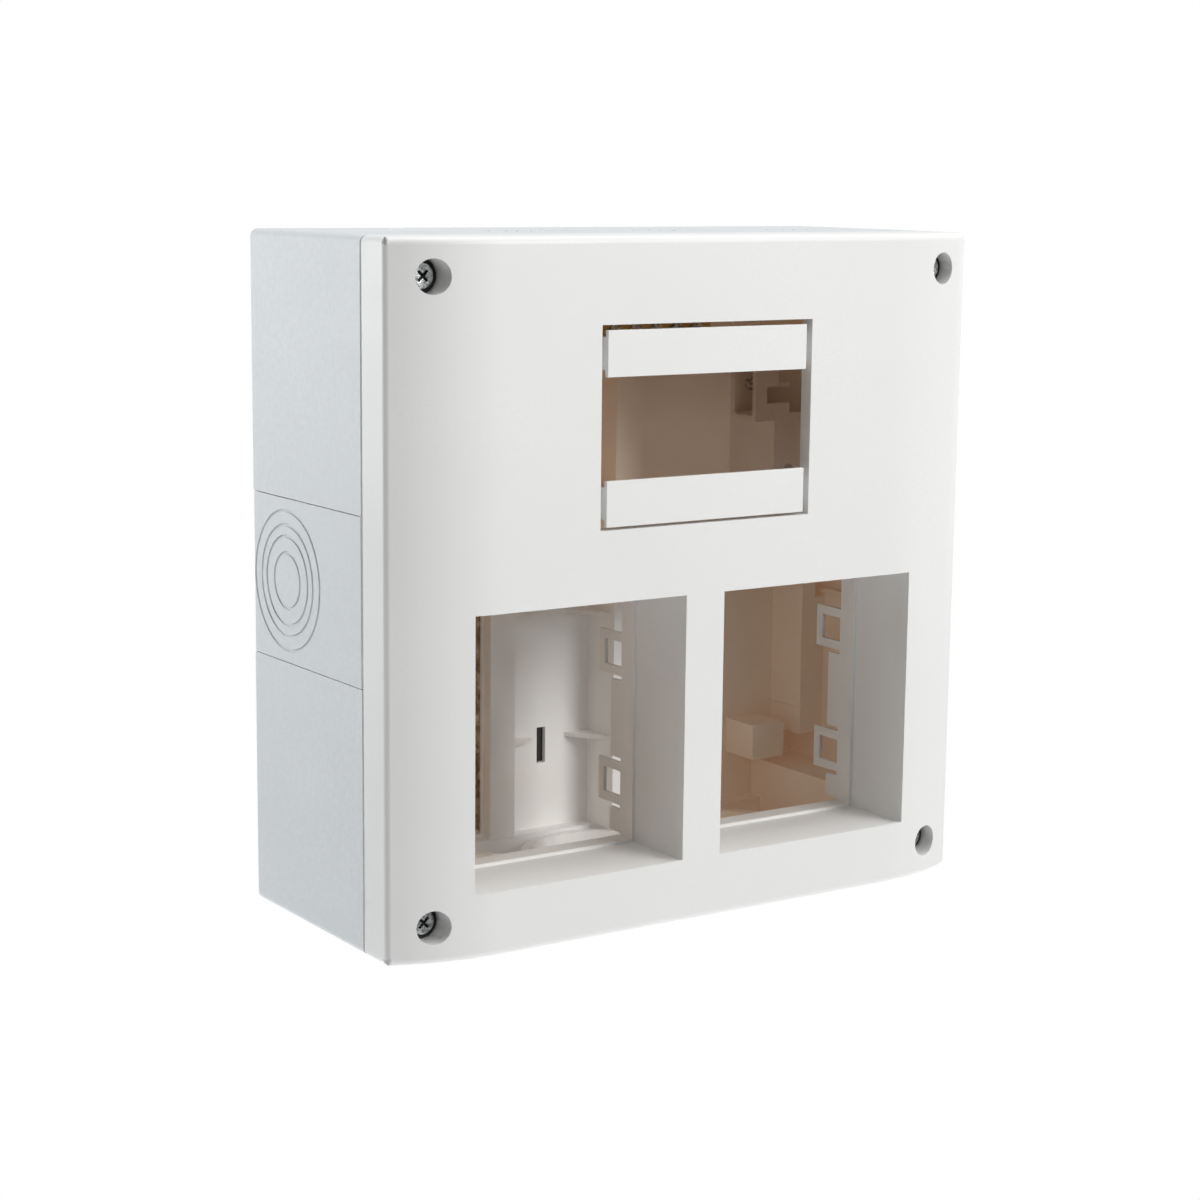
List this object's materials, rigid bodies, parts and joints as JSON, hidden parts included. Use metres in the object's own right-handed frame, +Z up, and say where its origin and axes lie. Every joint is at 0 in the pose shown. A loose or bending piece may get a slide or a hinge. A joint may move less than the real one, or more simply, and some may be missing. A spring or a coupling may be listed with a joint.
{
  "type": "residential load center",
  "caption": "Wall-mounted plastic load center: back box with ring knock-outs, screwed pillow-shaped cover with a modular slot and deep accessory windows.",
  "frame": {"origin": "centre of the back face, on the wall", "axes": "+Z up, -Y out from the wall towards the user, +X to the right as seen from the front"},
  "size_m": [0.314, 0.135, 0.31],
  "materials": {
    "box_plastic": "fine moulded grain",
    "cover_plastic": "satin moulded",
    "frame_plastic": "satin moulded",
    "bracket_plastic": "satin moulded",
    "holder_plastic": "smooth moulded",
    "screw_steel": "bright zinc",
    "bar_brass": "drawn and milled",
    "insert_board": "raw fibreboard",
    "washer_rubber": "matt"
  },
  "bodies": {
    "box": {"back_box": "box_plastic", "rail_bracket_left": "bracket_plastic", "rail_bracket_right": "bracket_plastic", "bracket_screws": "screw_steel", "terminal_holder": "holder_plastic", "neutral_bar": "bar_brass", "earth_bar": "bar_brass", "neutral_terminal_screws": "screw_steel", "earth_terminal_screws": "screw_steel", "holder_screws": "screw_steel", "rear_insert_left": "insert_board", "rear_insert_right": "insert_board", "fixing_washers": "washer_rubber"},
    "cover": {"front_cover": "cover_plastic", "screw_retainers": "washer_rubber", "snap_frame_left": "frame_plastic", "snap_frame_right": "frame_plastic"},
    "strip_upper": {"window_strip_upper": "cover_plastic"},
    "strip_lower": {"window_strip_lower": "cover_plastic"},
    "entry_left": {"entry_plate_left": "box_plastic"},
    "entry_right": {"entry_plate_right": "box_plastic"},
    "entry_top": {"entry_plate_top": "box_plastic"},
    "entry_bottom": {"entry_plate_bottom": "box_plastic"},
    "screw_top_left": {"cover_screw_top_left": "screw_steel"},
    "screw_top_right": {"cover_screw_top_right": "screw_steel"},
    "screw_bottom_left": {"cover_screw_bottom_left": "screw_steel"},
    "screw_bottom_right": {"cover_screw_bottom_right": "screw_steel"}
  },
  "joints": [
    {"name": "cover_off", "type": "slide", "parent": "box", "child": "cover", "axis": [0, -1, 0], "range_m": [0, 0.07]},
    {"name": "strip_upper_off", "type": "slide", "parent": "cover", "child": "strip_upper", "axis": [0, -1, 0], "range_m": [0, 0.02]},
    {"name": "strip_lower_off", "type": "slide", "parent": "cover", "child": "strip_lower", "axis": [0, -1, 0], "range_m": [0, 0.02]},
    {"name": "entry_left_off", "type": "slide", "parent": "box", "child": "entry_left", "axis": [-1, 0, 0], "range_m": [0, 0.02]},
    {"name": "entry_right_off", "type": "slide", "parent": "box", "child": "entry_right", "axis": [1, 0, 0], "range_m": [0, 0.02]},
    {"name": "entry_top_off", "type": "slide", "parent": "box", "child": "entry_top", "axis": [0, 0, 1], "range_m": [0, 0.02]},
    {"name": "entry_bottom_off", "type": "slide", "parent": "box", "child": "entry_bottom", "axis": [0, 0, -1], "range_m": [0, 0.02]},
    {"name": "screw_top_left_turn", "type": "hinge", "parent": "cover", "child": "screw_top_left", "pos_m": [-0.1375, -0.12, 0.1385], "axis": [0, -1, 0], "continuous": true},
    {"name": "screw_top_right_turn", "type": "hinge", "parent": "cover", "child": "screw_top_right", "pos_m": [0.1375, -0.12, 0.1385], "axis": [0, -1, 0], "continuous": true},
    {"name": "screw_bottom_left_turn", "type": "hinge", "parent": "cover", "child": "screw_bottom_left", "pos_m": [-0.1375, -0.12, -0.1385], "axis": [0, -1, 0], "continuous": true},
    {"name": "screw_bottom_right_turn", "type": "hinge", "parent": "cover", "child": "screw_bottom_right", "pos_m": [0.1375, -0.12, -0.1385], "axis": [0, -1, 0], "continuous": true}
  ]
}
